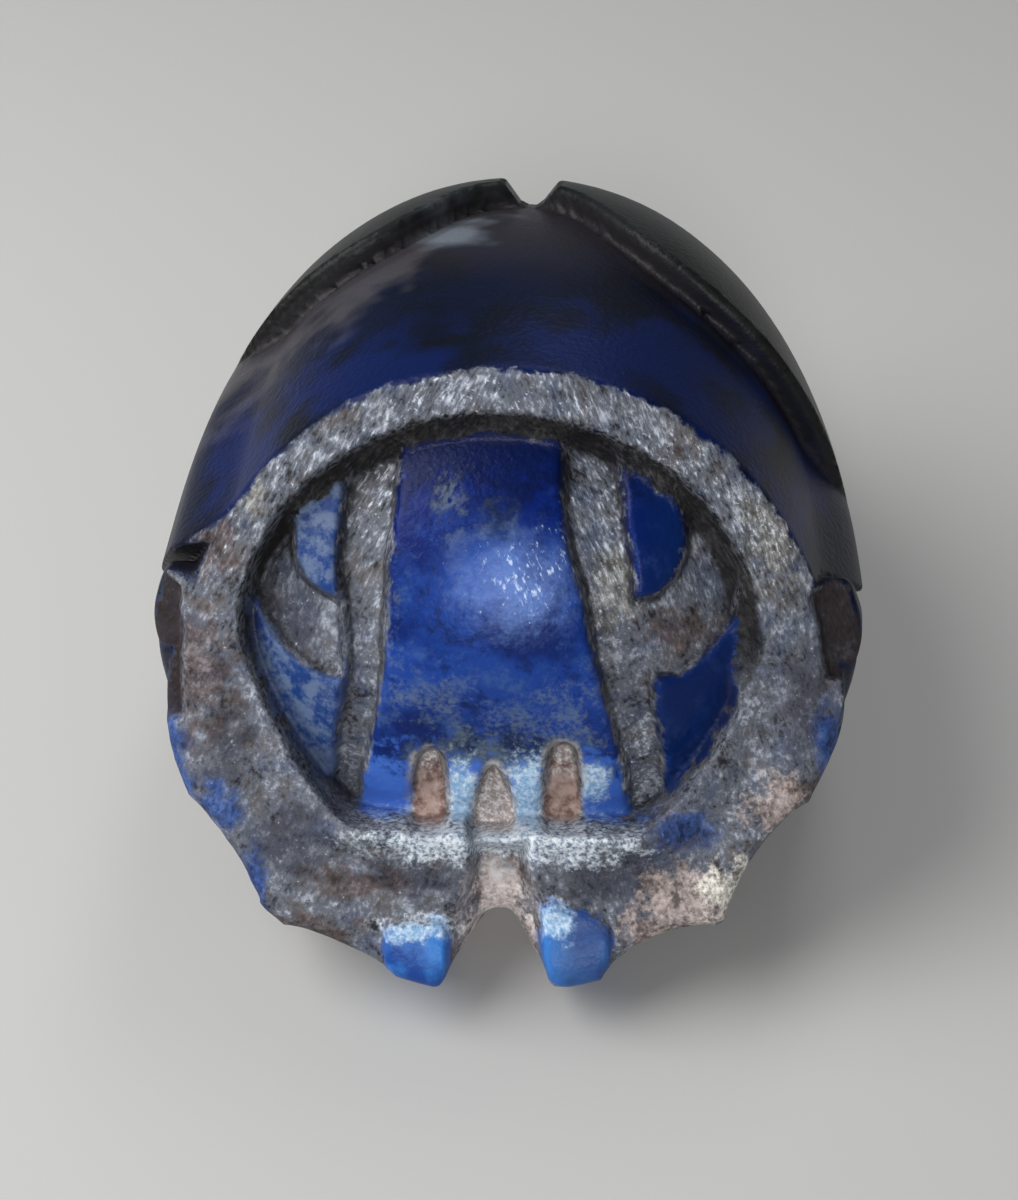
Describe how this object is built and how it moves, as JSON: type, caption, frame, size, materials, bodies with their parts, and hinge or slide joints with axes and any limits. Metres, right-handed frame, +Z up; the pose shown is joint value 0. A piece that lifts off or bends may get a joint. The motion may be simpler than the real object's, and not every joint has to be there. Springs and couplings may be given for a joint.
{
  "type": "scarab amulet",
  "caption": "Small carved scarab beetle of blue stone with a domed back, divided wing cases, a recessed face and a toothed head shield, flat below.",
  "frame": {"origin": "centre of the bounding box in plan, on the flat belly", "axes": "+Z up from the belly to the back, -Y towards the toothed head shield, +Y towards the tail, +X to the right as one looks at the face"},
  "size_m": [0.0128, 0.0172, 0.01],
  "materials": {
    "lapis_lazuli": "polished deep blue lapis lazuli, rough and grey where it was ground or has worn, with brown and beige host rock"
  },
  "bodies": {
    "root": {"scarab": "lapis_lazuli"}
  },
  "joints": []
}
